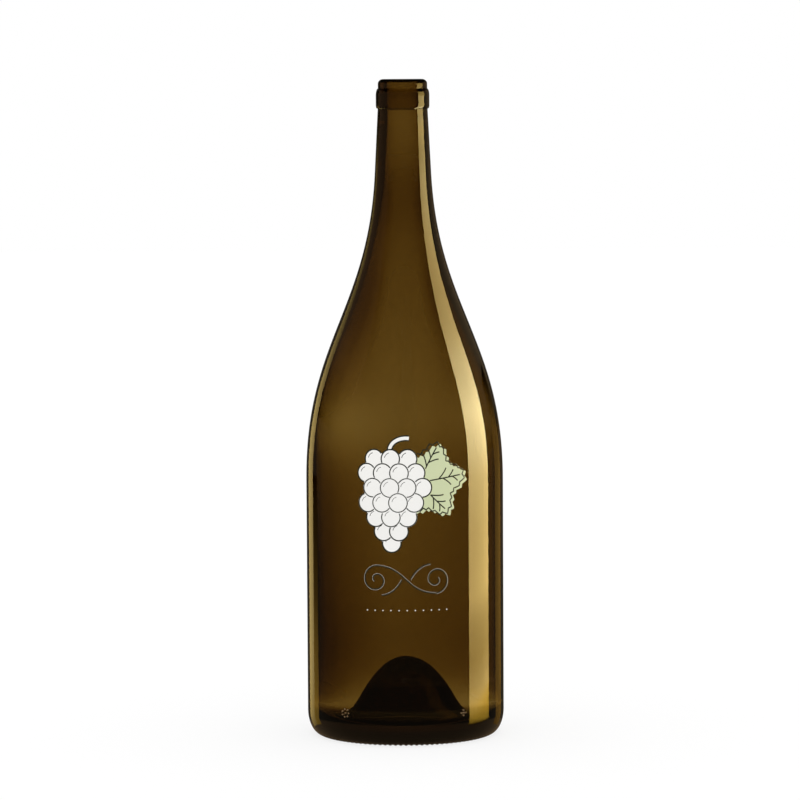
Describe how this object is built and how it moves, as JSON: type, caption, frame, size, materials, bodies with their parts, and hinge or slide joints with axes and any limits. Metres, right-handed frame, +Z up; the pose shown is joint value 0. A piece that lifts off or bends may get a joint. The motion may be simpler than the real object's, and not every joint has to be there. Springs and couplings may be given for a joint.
{
  "type": "magnum wine bottle",
  "caption": "Empty open wine bottle of magnum size and Burgundy shape: dark glass, long sloping shoulder, banded cork finish and a deep punt under the base.",
  "frame": {"origin": "centre of the ring that the bottle stands on", "axes": "+Z up along the bottle's axis, out of its mouth; the print faces -Y"},
  "size_m": [0.106, 0.106, 0.3526],
  "materials": {
    "glass": "clear dark amber-olive container glass, fire-polished outside, faintly wavy inside",
    "white_enamel": "white ceramic enamel fired onto the glass, satin",
    "green_enamel": "pale sage-green ceramic enamel fired onto the glass, satin",
    "dark_enamel": "near-black ceramic enamel lines, satin"
  },
  "bodies": {
    "root": {"bottle": "glass"}
  },
  "joints": []
}
